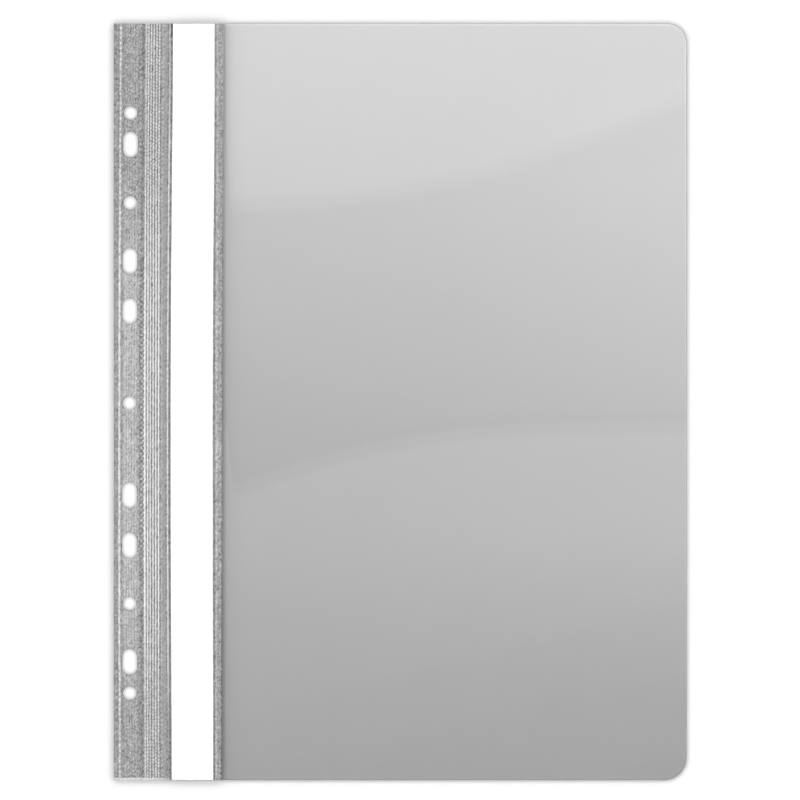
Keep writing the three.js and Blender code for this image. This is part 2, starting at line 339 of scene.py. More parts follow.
def emboss(u, y):
    """Relief in mm and lightness of the strip at u, y (u as on a straight sheet). The lightness lifts the crests of
    the relief, partly as whitening of the stretched PVC and partly as painted highlight, and darkens lines beside them
    as painted shade.
    """
    ends = smooth(55, 125, np.abs(y + 18))                     # towards the ends the lines break up into dots
    ph = 2 * np.pi * y
    h = np.zeros_like(u)
    t = np.full_like(u, BASE)
    n1 = lattice(3, 0.9, y, u, 0.9)
    n2 = lattice(5, 2.6, y, u, 0.8)
    # the middle of the margin is a little paler than its ends
    t += 0.010 * (1 - ends) * (1 - smooth(19.0, 19.4, u))
    t += (0.015 + 0.075 * (1 - ends)) * smooth(3.2, 3.9, u) * (1 - smooth(9.8, 10.4, u))
    # plain edge band with pin-head beads, their tone lifted partly as whitened PVC and partly as painted highlight
    edge = 1 - smooth(1.5, 1.8, u)
    t += 0.008 * edge
    bead = line(u, 1.1, 0.35) * np.clip(np.cos(ph / 2.1 + 0.6), 0, 1) ** 2
    h += 0.03 * bead
    t += 0.12 * bead * (0.5 + 0.5 * lattice(8, 14.0, y))
    # first bright ridge: its lighter tone is partly whitened PVC and partly painted highlight, with a line of painted
    # shade on its spine side
    dots = 0.5 + 0.5 * np.cos(ph / 2.12 + 1.6 * lattice(9, 9.0, y))
    k = line(u, 2.34 + 0.10 * lattice(10, 2.0, y), 0.42 - 0.06 * ends)
    amp = (1 - 0.62 * ends * (1 - dots)) * (1 + 0.10 * ends)
    h += 0.10 * k * amp
    t += 0.49 * k * amp * (0.86 + 0.25 * lattice(11, 1.1, y))
    t -= 0.045 * line(u, 1.70, 0.24)
    # faint wavy lines through the hole band, lightened partly as whitened PVC and partly as painted highlight, with
    # painted shade along one side
    for i, c in enumerate(FAINT):
        wave = 0.10 * np.sin(ph / 3.6 + 1.1 * i) + 0.08 * lattice(20 + i, 3.0, y)
        k = line(u, c + wave, 0.24)
        dot = (0.5 + 0.5 * np.cos(ph / 1.62 + 2.0 * i + 1.2 * lattice(30 + i, 8.0, y))) ** 1.5
        amp = ((1 - ends) * (0.66 + 0.30 * lattice(40 + i, 3.2, y) + 0.16 * np.cos(ph / 1.5 + i))
               + ends * (0.18 + 0.95 * dot) * (0.75 + 0.25 * lattice(80 + i, 6.0, y)))
        h += 0.045 * k * amp
        t += 0.22 * k * amp
        t -= 0.035 * line(u, c + wave + 0.55, 0.22) * (1 - 0.5 * ends)
    # beads left of the second ridge: ringed pin-heads in the middle, single dots towards the ends; the heads are
    # lightened as whitened PVC and painted highlight, and the rings round them are darkened as painted shade
    s = np.cos(ph / 2.13)
    shown = 1 - smooth(30, 95, np.abs(y + 10))
    near = ((y / 2.13 + 0.5) % 1.0 - 0.5) * 2.13
    r = np.hypot(u - 11.5, near)
    h += (0.06 * np.exp(-(r / 0.42) ** 2) - 0.03 * line(r, 0.85, 0.28)) * (0.3 + 0.7 * shown)
    t += (0.24 * np.exp(-(r / 0.42) ** 2) - 0.105 * line(r, 0.86, 0.30)) * shown
    t -= 0.045 * (1 - shown) * line(u, 11.6, 0.9)
    t += 0.10 * line(u, 10.35 + 0.08 * lattice(16, 3.0, y), 0.26) * (1 - ends)
    t += 0.30 * line(u, 10.75, 0.30) * np.clip(s, 0, 1) ** 2 * smooth(20, 80, y)
    t += 0.12 * line(u, 10.9, 0.32) * np.clip(s, 0, 1) ** 2 * smooth(-60, -110, y)
    # second ridge with a scalloped side, lightened partly as whitened PVC and partly as painted highlight
    tooth = np.clip(-s, 0, 1) ** 1.4
    c = 12.89 - 0.10 * tooth * (0.35 + 0.65 * shown)
    k = np.where(u < c, line(u, c, 0.32 + 0.34 * tooth * shown), line(u, c, 0.33))
    dots = 0.5 + 0.5 * np.cos(ph / 1.45 + 0.9 + lattice(14, 9.0, y))
    amp = 1 - ends * (0.28 + 0.46 * (1 - dots))
    h += 0.11 * k * amp
    t += 0.62 * k * amp * (0.94 + 0.12 * lattice(12, 1.2, y))
    # ribs: crests lightened, partly as whitened PVC and partly as painted highlight; the groove beside each is
    # darkened as painted shade
    for i, c in enumerate(RIBS):
        wave = 0.05 * np.sin(ph / 3.3 + 1.7 * i)
        k = line(u, c - 0.2 * ends + wave, 0.225)
        dot = 0.52 + 0.48 * np.cos(ph / 1.42 + 2.4 * i * smooth(-60, 60, y) + 1.4 * lattice(50 + i, 12.0, y))
        amp = ((1 - 0.82 * ends * (1 - dot)) * (0.88 + 0.12 * lattice(60 + i, 2.2, y)) * (1 + 0.16 * ends)
               + 0.09 * (1 - ends) * np.cos(ph / 1.5 + 1.3 * i))
        h += 0.09 * k * amp
        t += (0.68, 0.62, 0.60, 0.65, 0.70)[i] * k * amp * (1 - 0.16 * smooth(-60, -130, y))
        h -= 0.02 * line(u, c + 0.55 - 0.2 * ends, 0.2)
        t -= 0.055 * line(u, c + 0.55 - 0.2 * ends, 0.26)
    t -= 0.030 * line(u, 13.5, 0.22)
    # a last row of faint dots that only the ends show
    dot = np.clip(np.cos(ph / 1.9 + 0.7), 0, 1)
    t += line(u, 19.75, 0.24) * (0.22 * dot * ends + 0.10 * (1 - ends))
    # the crease band is plain; then a dark hairline and the bright weld line of the film, drawn as a painted highlight
    t += 0.040 * smooth(19.2, 19.6, u) * (1 - smooth(21.2, 21.4, u))
    t -= 0.055 * line(u, 21.62, 0.20)
    strength = smooth(-150, -95, y) * (1 - 0.55 * smooth(106, 124, y))
    k = line(u, 22.30 + 0.02 * lattice(15, 4.0, y), 0.28)
    h += 0.05 * k * strength
    t += 0.50 * k * strength * (0.94 + 0.09 * n1)
    t += 0.10 * line(u, 22.25, 0.25) * (1 - strength) * np.clip(np.cos(ph / 1.5), 0, 1)
    t -= 0.078 * line(u, 23.0, 0.36)
    # painted shade in the pocket's open corner at the top
    k = smooth(22.62, 22.80, u) * (1 - smooth(23.6, 23.75, u)) * smooth(151.1, 151.6, y)
    t = t * (1 - k) + 0.05 * k
    # weld band on the far side of the title strip
    band = smooth(41.5, 41.8, u) * (1 - smooth(44.75, 44.95, u))
    g = lattice(70, 0.75, y, u, 0.62)
    h += 0.05 * band * g
    t += band * (0.078 - 0.030 * smooth(20, 120, y) + 0.09 * g - 0.020 * smooth(60, -120, y))
    k = line(u, 42.62 - 0.25 * smooth(-60, -130, y), 0.38)
    t += (0.190 - 0.06 * smooth(20, 120, y)) * k * (0.80 + 0.45 * lattice(13, 1.3, y) + 0.25 * np.cos(ph / 1.6))
    t -= 0.105 * line(u, 41.72, 0.30)
    # painted shade along the right edge of the weld band, where the raised strip shades the sheet, from the middle of
    # the file downwards
    t -= 0.115 * smooth(44.55, 44.85, u) * smooth(150, 20, y)
    # a painted highlight along the cut edge at the foot of the margin, and a faint darker line just above it
    foot = smooth(-155.3, -155.6, y) * smooth(-156.5, -156.38, y) * (1 - 0.6 * smooth(18.5, 20.5, u))
    t = np.where(foot > 0.05, np.minimum(t, 0.34), t)
    t += 0.30 * foot * (1 - smooth(22.4, 22.8, u))
    t -= 0.03 * line(y, -155.05, 0.3) * (1 - smooth(20.5, 21.0, u))
    # grain all over
    speck = np.random.default_rng(7).normal(0, 1, u.shape) if np.ndim(u) == 2 else 0.0
    quiet = 1 - 0.6 * smooth(20.1, 20.4, u) * (1 - smooth(21.3, 21.6, u))
    t += (0.050 * n1 + 0.018 * n2 + 0.095 * np.clip(speck, -2.2, 2.2)) * quiet
    h += 0.012 * n1
    return h, np.clip(t, 0.04, 0.92)


def make_strip():
    us = np.concatenate([
        [0.15, 0.25, 0.5], np.arange(0.78, 1.6, 0.272), np.arange(1.7, 3.2, 0.21), np.arange(3.4, 12.1, 0.272),
        np.arange(12.25, 20.1, 0.2125), np.arange(20.3, 21.5, 0.3),
        np.arange(21.7, 24.1, 0.22), [24.6, 25.5, 26.2, 27.0, 27.8, 28.5, 29.3, 30.0, 31.0, 33.0, 36.0, 40.0],
        np.arange(40.7, 45.15, 0.25), [45.2]])
    ys = np.concatenate([[-156.5, -156.4, -156.25, -155.9, -155.6, -155.35], np.linspace(-155.1, 156.5, 684)])
    U, Y = np.meshgrid(us, ys, indexing="ij")
    H, T = emboss(U, Y)
    H = H * smooth(0.15, 0.5, U) * (1 - smooth(45.0, 45.2, U))
    # distance to the nearest hole, negative inside
    D = np.full_like(U, 1e9)
    GU, GY = np.zeros_like(U), np.zeros_like(U)
    which = np.zeros(U.shape, int)
    for i, (cy, slot) in enumerate(HOLES):
        half = SLOT_HALF if slot else 0.0
        r = SLOT_R if slot else ROUND_R
        py = Y - cy
        qy = py - np.clip(py, -half, half)
        du = U - HOLE_LINE
        l = np.hypot(du, qy)
        d = l - r
        near = d < D
        D = np.where(near, d, D)
        GU = np.where(near, du / np.maximum(l, 1e-6), GU)
        GY = np.where(near, qy / np.maximum(l, 1e-6), GY)
        which = np.where(near, i, which)
    keep = D > -0.12
    # round each punched hole the relief fades out and the tone is a touch darker
    rim = np.exp(-(np.clip(D, 0, 9) / 0.35) ** 2)
    T = T * (1 - 0.22 * rim)
    H = H * (1 - 0.8 * rim)
    nu, nz = strip_normal(U)
    x = U + shift(U, Y) - WIDTH / 2
    z = strip_mid(U) - sag(U, Y) + (PVC / 2 + H)
    nc, nr = U.shape
    # quads whose four corners stay
    k4 = keep[:-1, :-1] & keep[1:, :-1] & keep[:-1, 1:] & keep[1:, 1:]
    idx = np.arange(nc * nr).reshape(nc, nr)
    quads = np.stack([idx[:-1, :-1][k4], idx[1:, :-1][k4], idx[1:, 1:][k4], idx[:-1, 1:][k4]], 1)
    used = np.zeros(nc * nr, bool)
    used[quads.ravel()] = True
    # pull the ring round each hole on to the true outline
    touched = np.zeros((nc, nr), bool)
    gone = ~k4
    for a in (0, 1):
        for b in (0, 1):
            touched[a:nc - 1 + a, b:nr - 1 + b] |= gone
    ring = touched & used.reshape(nc, nr) & (D < 1.0)
    UU, YY = U.copy(), Y.copy()
    UU[ring] = U[ring] - GU[ring] * D[ring]
    YY[ring] = Y[ring] - GY[ring] * D[ring]
    x = np.where(ring, UU + shift(U, Y) - WIDTH / 2, x)
    y = YY
    remap = -np.ones(nc * nr, int)
    remap[used] = np.arange(used.sum())
    V = np.stack([x.ravel()[used], y.ravel()[used], z.ravel()[used]], 1)
    tone_with_painted_light = T.ravel()[used]
    faces = remap[quads]
    ring_id = remap.reshape(nc, nr)
    verts = list(V)
    tones_with_painted_light = list(tone_with_painted_light)
    flist = [tuple(f) for f in faces]
    # boundary loops round the holes, from directed edges
    edges = {}
    for f in flist:
        for a, b in zip(f, f[1:] + f[:1]):
            edges[(a, b)] = 1
    nxt = {}
    for (a, b) in edges:
        if (b, a) not in edges:
            nxt[b] = a          # walk the other way round, for the wall
    loops, seen = [], set()
    for s in list(nxt):
        if s in seen:
            continue
        loop, c = [], s
        while c not in seen:
            seen.add(c)
            loop.append(c)
            c = nxt[c]
        loops.append(loop)
    loops.sort(key=len)
    outer, hole_loops = loops[-1], loops[:-1]
    # underside: coarse cells, with the holes cut out of those that hold one
    cu = [0.15, 12.3, 20.3, 20.9] + [p[0] for p in FLAP_LINE[:-1]] + [45.2]
    cu = [float(us[np.argmin(np.abs(us - c))]) for c in cu]
    cu = sorted(set(cu))
    cy = [-156.5, -131, -115, -98, -93.4, -76, -70, -48.4, -19, 19, 48.4, 70, 76, 93.4, 98, 115, 131, 156.5]
    cyi = [int(np.argmin(np.abs(ys - c))) for c in cy]
    cui = [int(np.argmin(np.abs(us - c))) for c in cu]
    under = {}
    for a, i in enumerate(cui):
        for b, j in enumerate(cyi):
            u0, y0 = us[i], ys[j]
            under[(a, b)] = len(verts)
            verts.append(np.array([u0 + float(shift(u0, y0)) - WIDTH / 2, y0,
                                   float(strip_mid(u0)) - float(sag(u0, y0)) - PVC / 2]))
            tones_with_painted_light.append(0.25)
    low = {}
    for loop in hole_loops:
        for v in loop:
            low[v] = len(verts)
            p = verts[v]
            verts.append(np.array([p[0], p[1], 0.40]))
            tones_with_painted_light.append(0.25)
        for a, b in zip(loop, loop[1:] + loop[:1]):
            flist.append((a, b, low[b], low[a]))
    centres = [np.mean([verts[v] for v in l], axis=0) for l in hole_loops]
    for a in range(len(cui) - 1):
        for b in range(len(cyi) - 1):
            c0, c1, c2, c3 = under[(a, b)], under[(a, b + 1)], under[(a + 1, b + 1)], under[(a + 1, b)]
            inside = [l for l, c in zip(hole_loops, centres)
                      if a == 0 and verts[c0][1] < c[1] < verts[c1][1]]
            if not inside:
                flist.append((c0, c1, c2, c3))
                continue
            ids = [c0, c1, c2, c3]
            polys = [[0, 3, 2, 1]]
            for l in inside:
                n0 = len(ids)
                ids += [low[v] for v in l]
                polys.append(list(range(n0, len(ids))))
            co = [Vector((verts[i][0], verts[i][1])) for i in ids]
            ed = [(p[i], p[(i + 1) % len(p)]) for p in polys for i in range(len(p))]
            vo, eo, fo, ov, oe, of_ = delaunay_2d_cdt(co, ed, [], 1, 1e-7)
            back = [o[0] if o else None for o in ov]
            for f in fo:
                m = sum((vo[i] for i in f), Vector((0, 0))) / len(f)
                if any(max(abs(m.x - c[0]) / (SLOT_R), 0) < 1.2 and in_loop(m, [verts[v] for v in l])
                       for l, c in zip(hole_loops, centres) if l in inside):
                    continue
                g = tuple(ids[back[i]] for i in f)
                ar = (vo[f[1]] - vo[f[0]]).cross(vo[f[2]] - vo[f[0]])
                flist.append(g if ar < 0 else g[::-1])
    # outer walls: the fine top edge against the coarse underside
    def top(i, j):
        return int(ring_id[i, j])
    for b in range(len(cyi) - 1):
        j0, j1 = cyi[b], cyi[b + 1]
        flist.append(tuple([top(0, j) for j in range(j0, j1 + 1)] + [under[(0, b + 1)], under[(0, b)]]))
        e = nc - 1
        flist.append(tuple([top(e, j) for j in range(j1, j0 - 1, -1)]
                           + [under[(len(cui) - 1, b)], under[(len(cui) - 1, b + 1)]]))
    for a in range(len(cui) - 1):
        i0, i1 = cui[a], cui[a + 1]
        flist.append(tuple([top(i, 0) for i in range(i1, i0 - 1, -1)] + [under[(a, 0)], under[(a + 1, 0)]]))
        last = len(cyi) - 1
        flist.append(tuple([top(i, nr - 1) for i in range(i0, i1 + 1)]
                           + [under[(a + 1, last)], under[(a, last)]]))
    obj = mesh_object("spine_strip", np.array(verts) * MM, flist, {"tone_with_painted_light": tones_with_painted_light})
    obj.data.materials.append(STRIP_PVC)
    sharpen(obj, 45)
    return obj


def in_loop(m, pts):
    inside = False
    n = len(pts)
    for i in range(n):
        x0, y0, x1, y1 = pts[i][0], pts[i][1], pts[(i + 1) % n][0], pts[(i + 1) % n][1]
        if (y0 > m.y) != (y1 > m.y) and m.x < (x1 - x0) * (m.y - y0) / (y1 - y0) + x0:
            inside = not inside
    return inside


def sharpen(obj, degrees):
    """Edges bent more than this keep a hard shade."""
    bm = bmesh.new()
    bm.from_mesh(obj.data)
    limit = math.radians(degrees)
    for e in bm.edges:
        e.smooth = not (len(e.link_faces) == 2 and e.calc_face_angle(0) > limit)
    bm.to_mesh(obj.data)
    bm.free()


# ---------------------------------------------------------------- clear front cover
FILM_LINE = [(21.95, 0.72), (22.5, 0.77), (22.9, 0.83), (23.3, 0.98), (23.7, 1.03), (24.2, 1.09),
             (27.0, 1.4), (30.0, 1.7), (31.0, 1.73), (41.25, 1.73), (41.9, 1.56), (42.5, 1.475),
             (43.2, 1.405), (44.2, 1.265), (45.1, 1.135), (45.8, 0.985), (46.5, 0.87), (47.2, 0.79),
             (48.0, 0.738), (49.0, 0.712), (50.5, 0.703), (53.0, 0.7), (237.0, 0.7)]


def shell(name, us, rows, mid, thick, x_of, span, relief=None, attrs=None):
    """A closed sheet of even thickness over the places us, its rows spread between the two ends of span(u)."""
    us = np.asarray(us, float)
    s = np.linspace(0, 1, rows)
    lo, hi = span(us)
    Y = lo[:, None] + (hi - lo)[:, None] * s[None, :]
    U = np.repeat(us[:, None], rows, 1)
    d = (mid(U + 0.05) - sag(U + 0.05, Y) - mid(U - 0.05) + sag(U - 0.05, Y)) / 0.1
    l = np.sqrt(1 + d * d)
    X = x_of(U, Y)
    Z = mid(U) - sag(U, Y)
    nx, nz = -d / l, 1 / l
    R = relief(U, Y) if relief is not None else 0.0
    topv = np.stack([X + nx * (thick / 2 + R), Y, Z + nz * (thick / 2 + R)], -1).reshape(-1, 3)
    botv = np.stack([X - nx * thick / 2, Y, Z - nz * thick / 2], -1).reshape(-1, 3)
    n = len(us) * rows
    idx = np.arange(n).reshape(len(us), rows)
    a, b, c, e = idx[:-1, :-1].ravel(), idx[1:, :-1].ravel(), idx[1:, 1:].ravel(), idx[:-1, 1:].ravel()
    faces = [tuple(f) for f in np.stack([a, b, c, e], 1)]
    faces += [tuple(f) for f in np.stack([e, c, b, a], 1) + n]
    rim = list(idx[:, 0]) + list(idx[-1, 1:]) + list(idx[-2::-1, -1]) + list(idx[0, -2:0:-1])
    for p, q in zip(rim, rim[1:] + rim[:1]):
        faces.append((int(q), int(p), int(p) + n, int(q) + n))
    held = {k: np.tile(f(U, Y).ravel(), 2) for k, f in (attrs or {}).items()}
    return mesh_object(name, np.vstack([topv, botv]) * MM, faces, held)


def cover_span(inset):
    r, t = WIDTH - inset, HEIGHT / 2 - inset

    def span(us):
        a = np.clip((us - (r - R_TOP)) / R_TOP, 0, 1)
        b = np.clip((us - (r - R_BOTTOM)) / R_BOTTOM, 0, 1)
        return (-t + R_BOTTOM * (1 - np.sqrt(1 - b * b)), t - R_TOP * (1 - np.sqrt(1 - a * a)))
    return span


def make_film():
    r = WIDTH - INSET
    us = np.concatenate([
        [21.95], np.arange(22.15, 24.4, 0.2), [25.0, 26.0, 27.0, 28.0, 29.0, 30.0, 30.6, 31.2, 35.0, 40.2],
        np.arange(40.9, 45.3, 0.3), np.arange(45.6, 57.0, 0.45), [58.0, 60.0],
        np.arange(63.0, r - R_BOTTOM - 2, 5.5),
        r - R_BOTTOM + R_BOTTOM * np.sin(np.linspace(0, math.pi / 2, 14))])
    p = np.array(FILM_LINE)
    fine = np.linspace(21.9, 66, 1050)
    raw = np.interp(fine, p[:, 0], p[:, 1])
    k = np.hanning(19)
    soft = np.convolve(np.pad(raw, 9, mode="edge"), k / k.sum(), "valid")

    def mid(u):
        return np.where(u < 66, np.interp(u, fine, soft), p[-1, 1])

    def relief(U, Y):
        band = smooth(41.6, 41.9, U) * (1 - smooth(44.5, 44.8, U))
        g = lattice(71, 1.0, Y, U, 0.7)
        left = line(U, 22.2, 0.3)
        # the flat of the film is never dead flat
        swell = 0.010 * lattice(90, 70.0, Y, U, 60.0) * smooth(60, 90, U)
        return 0.03 * band * g + 0.03 * left + swell

    def mirror(U, Y):
        weld = np.maximum(1 - smooth(23.0, 23.5, U), smooth(41.2, 41.5, U) * (1 - smooth(45.0, 45.3, U)))
        # beside the weld band the reflection is cut down as painted shade, fading out over a few millimetres
        slope = np.where(U > 45.2, 1 - 0.62 * np.exp(-np.maximum(U - 45.2, 0) / 3.0), 1.0)
        lo, hi = cover_span(INSET)(U)
        # along the film's right and top cut edges the reflection is raised by half as a painted highlight
        rim = np.maximum(smooth(r - 0.5, r - 0.25, U), np.maximum(smooth(0.9, 0.3, hi - Y), 0))
        return slope * (1 - 0.9 * weld) * (1 + 0.5 * rim)

    obj = shell("clear_cover", us, 349, mid, FILM,
                lambda U, Y: U + shift(U, Y) - WIDTH / 2, cover_span(INSET), relief, {"mirror": mirror})
    obj.data.materials.append(FILM_MAT)
    sharpen(obj, 50)
    return obj


# ---------------------------------------------------------------- title strip
def make_title():
    us = np.array([23.68, 23.75, 24.5, 25.5, 26.5, 27.5, 28.5, 29.3, 30.2, 31.2, 33.0, 35.0, 37.0, 39.0, 40.91, 40.98])
    s = 156.25
    p = np.array([(23.5, 0.86), (24.15, 0.91), (25.5, 1.045), (27.0, 1.22), (28.5, 1.41), (30.0, 1.53),
                  (31.2, 1.56), (41.1, 1.56)])

    def mid(u):
        return np.interp(u, p[:, 0], p[:, 1])
    obj = shell("title_card", us, 120, mid, PAPER,
                lambda U, Y: U + shift(U, Y) - WIDTH / 2,
                lambda u: (np.full_like(u, -s), np.full_like(u, s)))
    obj.data.materials.append(PAPER_MAT)
    sharpen(obj, 40)
    return obj


# ---------------------------------------------------------------- fastener
def make_prongs():
    """Sheet steel strip: flat base, two prongs bent up with small radii and folded over."""
    t, w, p, reach = 0.22, 5.0, 40.0, 34.0
    z0, z1 = 0.20 + t / 2, 0.92 + t / 2
    half = [(0.0, z0)]
    half += [(y, z0) for y in np.linspace(4, p - 0.2, 14)]
    half += [(p - 0.2 + 0.2 * math.sin(a), z0 + 0.2 - 0.2 * math.cos(a)) for a in np.linspace(0.2, math.pi / 2, 5)]
    half += [(p - 0.22 + 0.22 * math.cos(a), z1 - 0.22 + 0.22 * math.sin(a)) for a in np.linspace(0.0, math.pi / 2, 6)]
    half += [(y, z1) for y in np.linspace(p - 1.2, p - reach, 26)]
    half = [(float(a), float(b)) for a, b in half]
    path = [(-a, b) for a, b in half[::-1]] + half[1:]
    path = np.array(path)
    d = np.gradient(path, axis=0)
    l = np.hypot(d[:, 0], d[:, 1])
    d /= l[:, None]
    n = np.stack([-d[:, 1], d[:, 0]], 1)
    # the width narrows to a round tip at each free end
    along = np.concatenate([[0], np.cumsum(np.hypot(*np.diff(path, axis=0).T))])
    tip = np.minimum(along, along[-1] - along)
    half_w = np.where(tip < w / 2, np.sqrt(np.clip(1 - (1 - tip / (w / 2)) ** 2, 0.02, 1)), 1) * (w / 2)
    cx = 35.5 - WIDTH / 2
    verts, faces = [], []
    c = 0.05
    section = [(-1, -t / 2 + c), (-1, t / 2 - c), (-1 + c, t / 2), (1 - c, t / 2),
               (1, t / 2 - c), (1, -t / 2 + c), (1 - c, -t / 2), (-1 + c, -t / 2)]
    m = len(section)
    for (yy, zz), (ny, nz), hw in zip(path, n, half_w):
        for sx, sn in section:
            verts.append((cx + sx * hw, yy + ny * sn, zz + nz * sn))
    rows = len(path)
    for i in range(rows - 1):
        for j in range(m):
            a, b = i * m + j, i * m + (j + 1) % m
            faces.append((a, b, b + m, a + m))
    faces.append(tuple(range(m))[::-1])
    faces.append(tuple(range((rows - 1) * m, rows * m)))
    obj = mesh_object("prong_strip", np.array(verts) * MM, faces)
    fix_normals(obj)
    obj.data.materials.append(STEEL_MAT)
    sharpen(obj, 50)
    return obj


def fix_normals(obj):
    bm = bmesh.new()
    bm.from_mesh(obj.data)
    bmesh.ops.recalc_face_normals(bm, faces=bm.faces)
    bm.to_mesh(obj.data)
    bm.free()


def make_bar():
    """Pressed channel with rounded ends, turned-up lips and two slots for the prongs."""
    w, length, t, lip, zb = 4.25, 106.0, 0.25, 0.6, 0.65
    outline = []
    for k in range(0, 9):
        a = math.pi / 2 * k / 8
        outline.append((w - 2.2 + 2.2 * math.cos(a), length / 2 - 2.2 + 2.2 * math.sin(a)))
    ring = outline + [(-x, y) for x, y in outline[::-1]]
    ring = ring + [(-x, -y) for x, y in ring]
    clean = []
    for p in ring:
        if not clean or math.hypot(p[0] - clean[-1][0], p[1] - clean[-1][1]) > 1e-4:
            clean.append(p)
    # more points on the long sides
    dense = []
    for p, q in zip(clean, clean[1:] + clean[:1]):
        n = max(1, int(math.hypot(q[0] - p[0], q[1] - p[1]) / 4.0))
        dense += [(p[0] + (q[0] - p[0]) * i / n, p[1] + (q[1] - p[1]) * i / n) for i in range(n)]
    cx = 35.5 - WIDTH / 2

    def inset(points, d):
        out = []
        for x, y in points:
            yy = max(abs(y) - (length / 2 - 2.2), 0)
            xx = max(abs(x) - (w - 2.2), 0)
            l = math.hypot(xx, yy) or 1
            if xx == 0:
                out.append((x, math.copysign(abs(y) - d, y)))
            elif yy == 0:
                out.append((math.copysign(abs(x) - d, x), y))
            else:
                out.append((math.copysign(w - 2.2 + (l - d) * xx / l, x),
                            math.copysign(length / 2 - 2.2 + (l - d) * yy / l, y)))
        return out
    # profile across the lip, from the underside out, up, over and down to the channel's floor
    prof = [(0.55, 0.0), (0.22, 0.02), (0.06, 0.12), (0.0, 0.25), (0.0, lip - 0.06), (0.05, lip),
            (t - 0.06, lip), (t, lip - 0.08), (t + 0.02, t + 0.14), (t + 0.10, t + 0.04), (t + 0.40, t)]
    verts, faces = [], []
    n = len(dense)
    for d, z in prof:
        for x, y in inset(dense, d):
            verts.append((cx + x, y, zb + z))
    for i in range(len(prof) - 1):
        for j in range(n):
            a, b = i * n + j, i * n + (j + 1) % n
            faces.append((a, b, b + n, a + n))
    # floor and underside, with the two slots
    def slot_ring(side):
        out = []
        for k in range(24):
            a = 2 * math.pi * k / 24
            x = 3.2 - 1.1 if math.cos(a) > 0 else -(3.2 - 1.1)
            out.append((x + 1.1 * math.cos(a), side * 40 + 1.1 * math.sin(a)))
        return out
    rims = {}
    for level, z, first in (("floor", zb + t, (len(prof) - 1) * n), ("under", zb, 0)):
        ids = [first + j for j in range(n)]
        polys = [list(range(n))]
        for side in (-1, 1):
            s0 = len(ids)
            start = len(verts)
            for x, y in slot_ring(side):
                verts.append((cx + x, y, z))
            ids += list(range(start, start + 24))
            rims[(level, side)] = list(range(start, start + 24))
            polys.append(list(range(s0, s0 + 24)))
        co = [Vector((verts[i][0], verts[i][1])) for i in ids]
        ed = [(p[i], p[(i + 1) % len(p)]) for p in polys for i in range(len(p))]
        vo, eo, fo, ov, oe, of_ = delaunay_2d_cdt(co, ed, [], 1, 1e-7)
        back = [o[0] for o in ov]
        for f in fo:
            m = sum((vo[i] for i in f), Vector((0, 0))) / len(f)
            if any(abs(m.x - cx) < 3.2 and abs(m.y - s * 40) < 1.1 and
                   in_loop(m, [verts[v] for v in rims[(level, s)]]) for s in (-1, 1)):
                continue
            faces.append(tuple(ids[back[i]] for i in f))
    for side in (-1, 1):
        a, b = rims[("floor", side)], rims[("under", side)]
        for i in range(24):
            j = (i + 1) % 24
            faces.append((a[i], a[j], b[j], b[i]))
    obj = mesh_object("cover_bar", np.array(verts) * MM, faces)
    fix_normals(obj)
    obj.data.materials.append(STEEL_MAT)
    sharpen(obj, 50)
    return obj


# ---------------------------------------------------------------- build the object
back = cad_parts["back_cover"]
back.data.materials.clear()
back.data.materials.append(BACK_PVC)

strip = make_strip()
film = make_film()
title = make_title()
prongs = make_prongs()
bar = make_bar()

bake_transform(strip)
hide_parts("binding_margin", "title_flap")
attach(film, "front")
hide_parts("front_cover")
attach(title, "front")
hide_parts("title_strip")
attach(prongs, "back")
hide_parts("fastener_prongs")
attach(bar, "back")
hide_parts("fastener_bar")

# ---------------------------------------------------------------- stage: floor
floor = mesh_object("floor", [(-3, -3, -0.00055), (3, -3, -0.00055), (3, 3, -0.00055), (-3, 3, -0.00055)],
                    [(0, 1, 2, 3)])
# the file lies on a thin white card, a little smaller than itself, which shows through its holes
ax, bx, ay = -0.1168, 0.1140, 0.1540
under = mesh_object("underlay", [(x, y, z) for z in (-0.00054, -0.00002)
                                 for x, y in ((ax, -ay), (bx, -ay), (bx, ay), (ax, ay))],
                    [(3, 2, 1, 0), (4, 5, 6, 7), (0, 1, 5, 4), (1, 2, 6, 5), (2, 3, 7, 6), (3, 0, 4, 7)],
                    smooth_faces=False)
fm, nt = new_material("stage_floor")
out = node(nt, "ShaderNodeOutputMaterial")
diff = node(nt, "ShaderNodeBsdfDiffuse")
diff.inputs["Color"].default_value = (0.892, 0.892, 0.892, 1)
nt.links.new(diff.outputs[0], out.inputs["Surface"])
um, nt = new_material("stage_underlay")
out = node(nt, "ShaderNodeOutputMaterial")
diff = node(nt, "ShaderNodeBsdfDiffuse")
diff.inputs["Color"].default_value = (0.97, 0.97, 0.97, 1)
nt.links.new(diff.outputs[0], out.inputs["Surface"])
for o, m in ((floor, fm), (under, um)):
    o.data.materials.append(m)

# ---------------------------------------------------------------- camera
LENS = 120.0
DIST = (800 / PXMM) * LENS / 36.0 * MM
cam_data = bpy.data.cameras.new("camera")
cam_data.lens = LENS
cam_data.sensor_width = 36.0
cam = link(bpy.data.objects.new("camera", cam_data))
cam.location = (VIEW_X * MM, VIEW_Y * MM, DIST + 0.0006)
cam.rotation_euler = (0, 0, 0)
cam_data.clip_start, cam_data.clip_end = 0.01, 20.0
bpy.context.scene.camera = cam

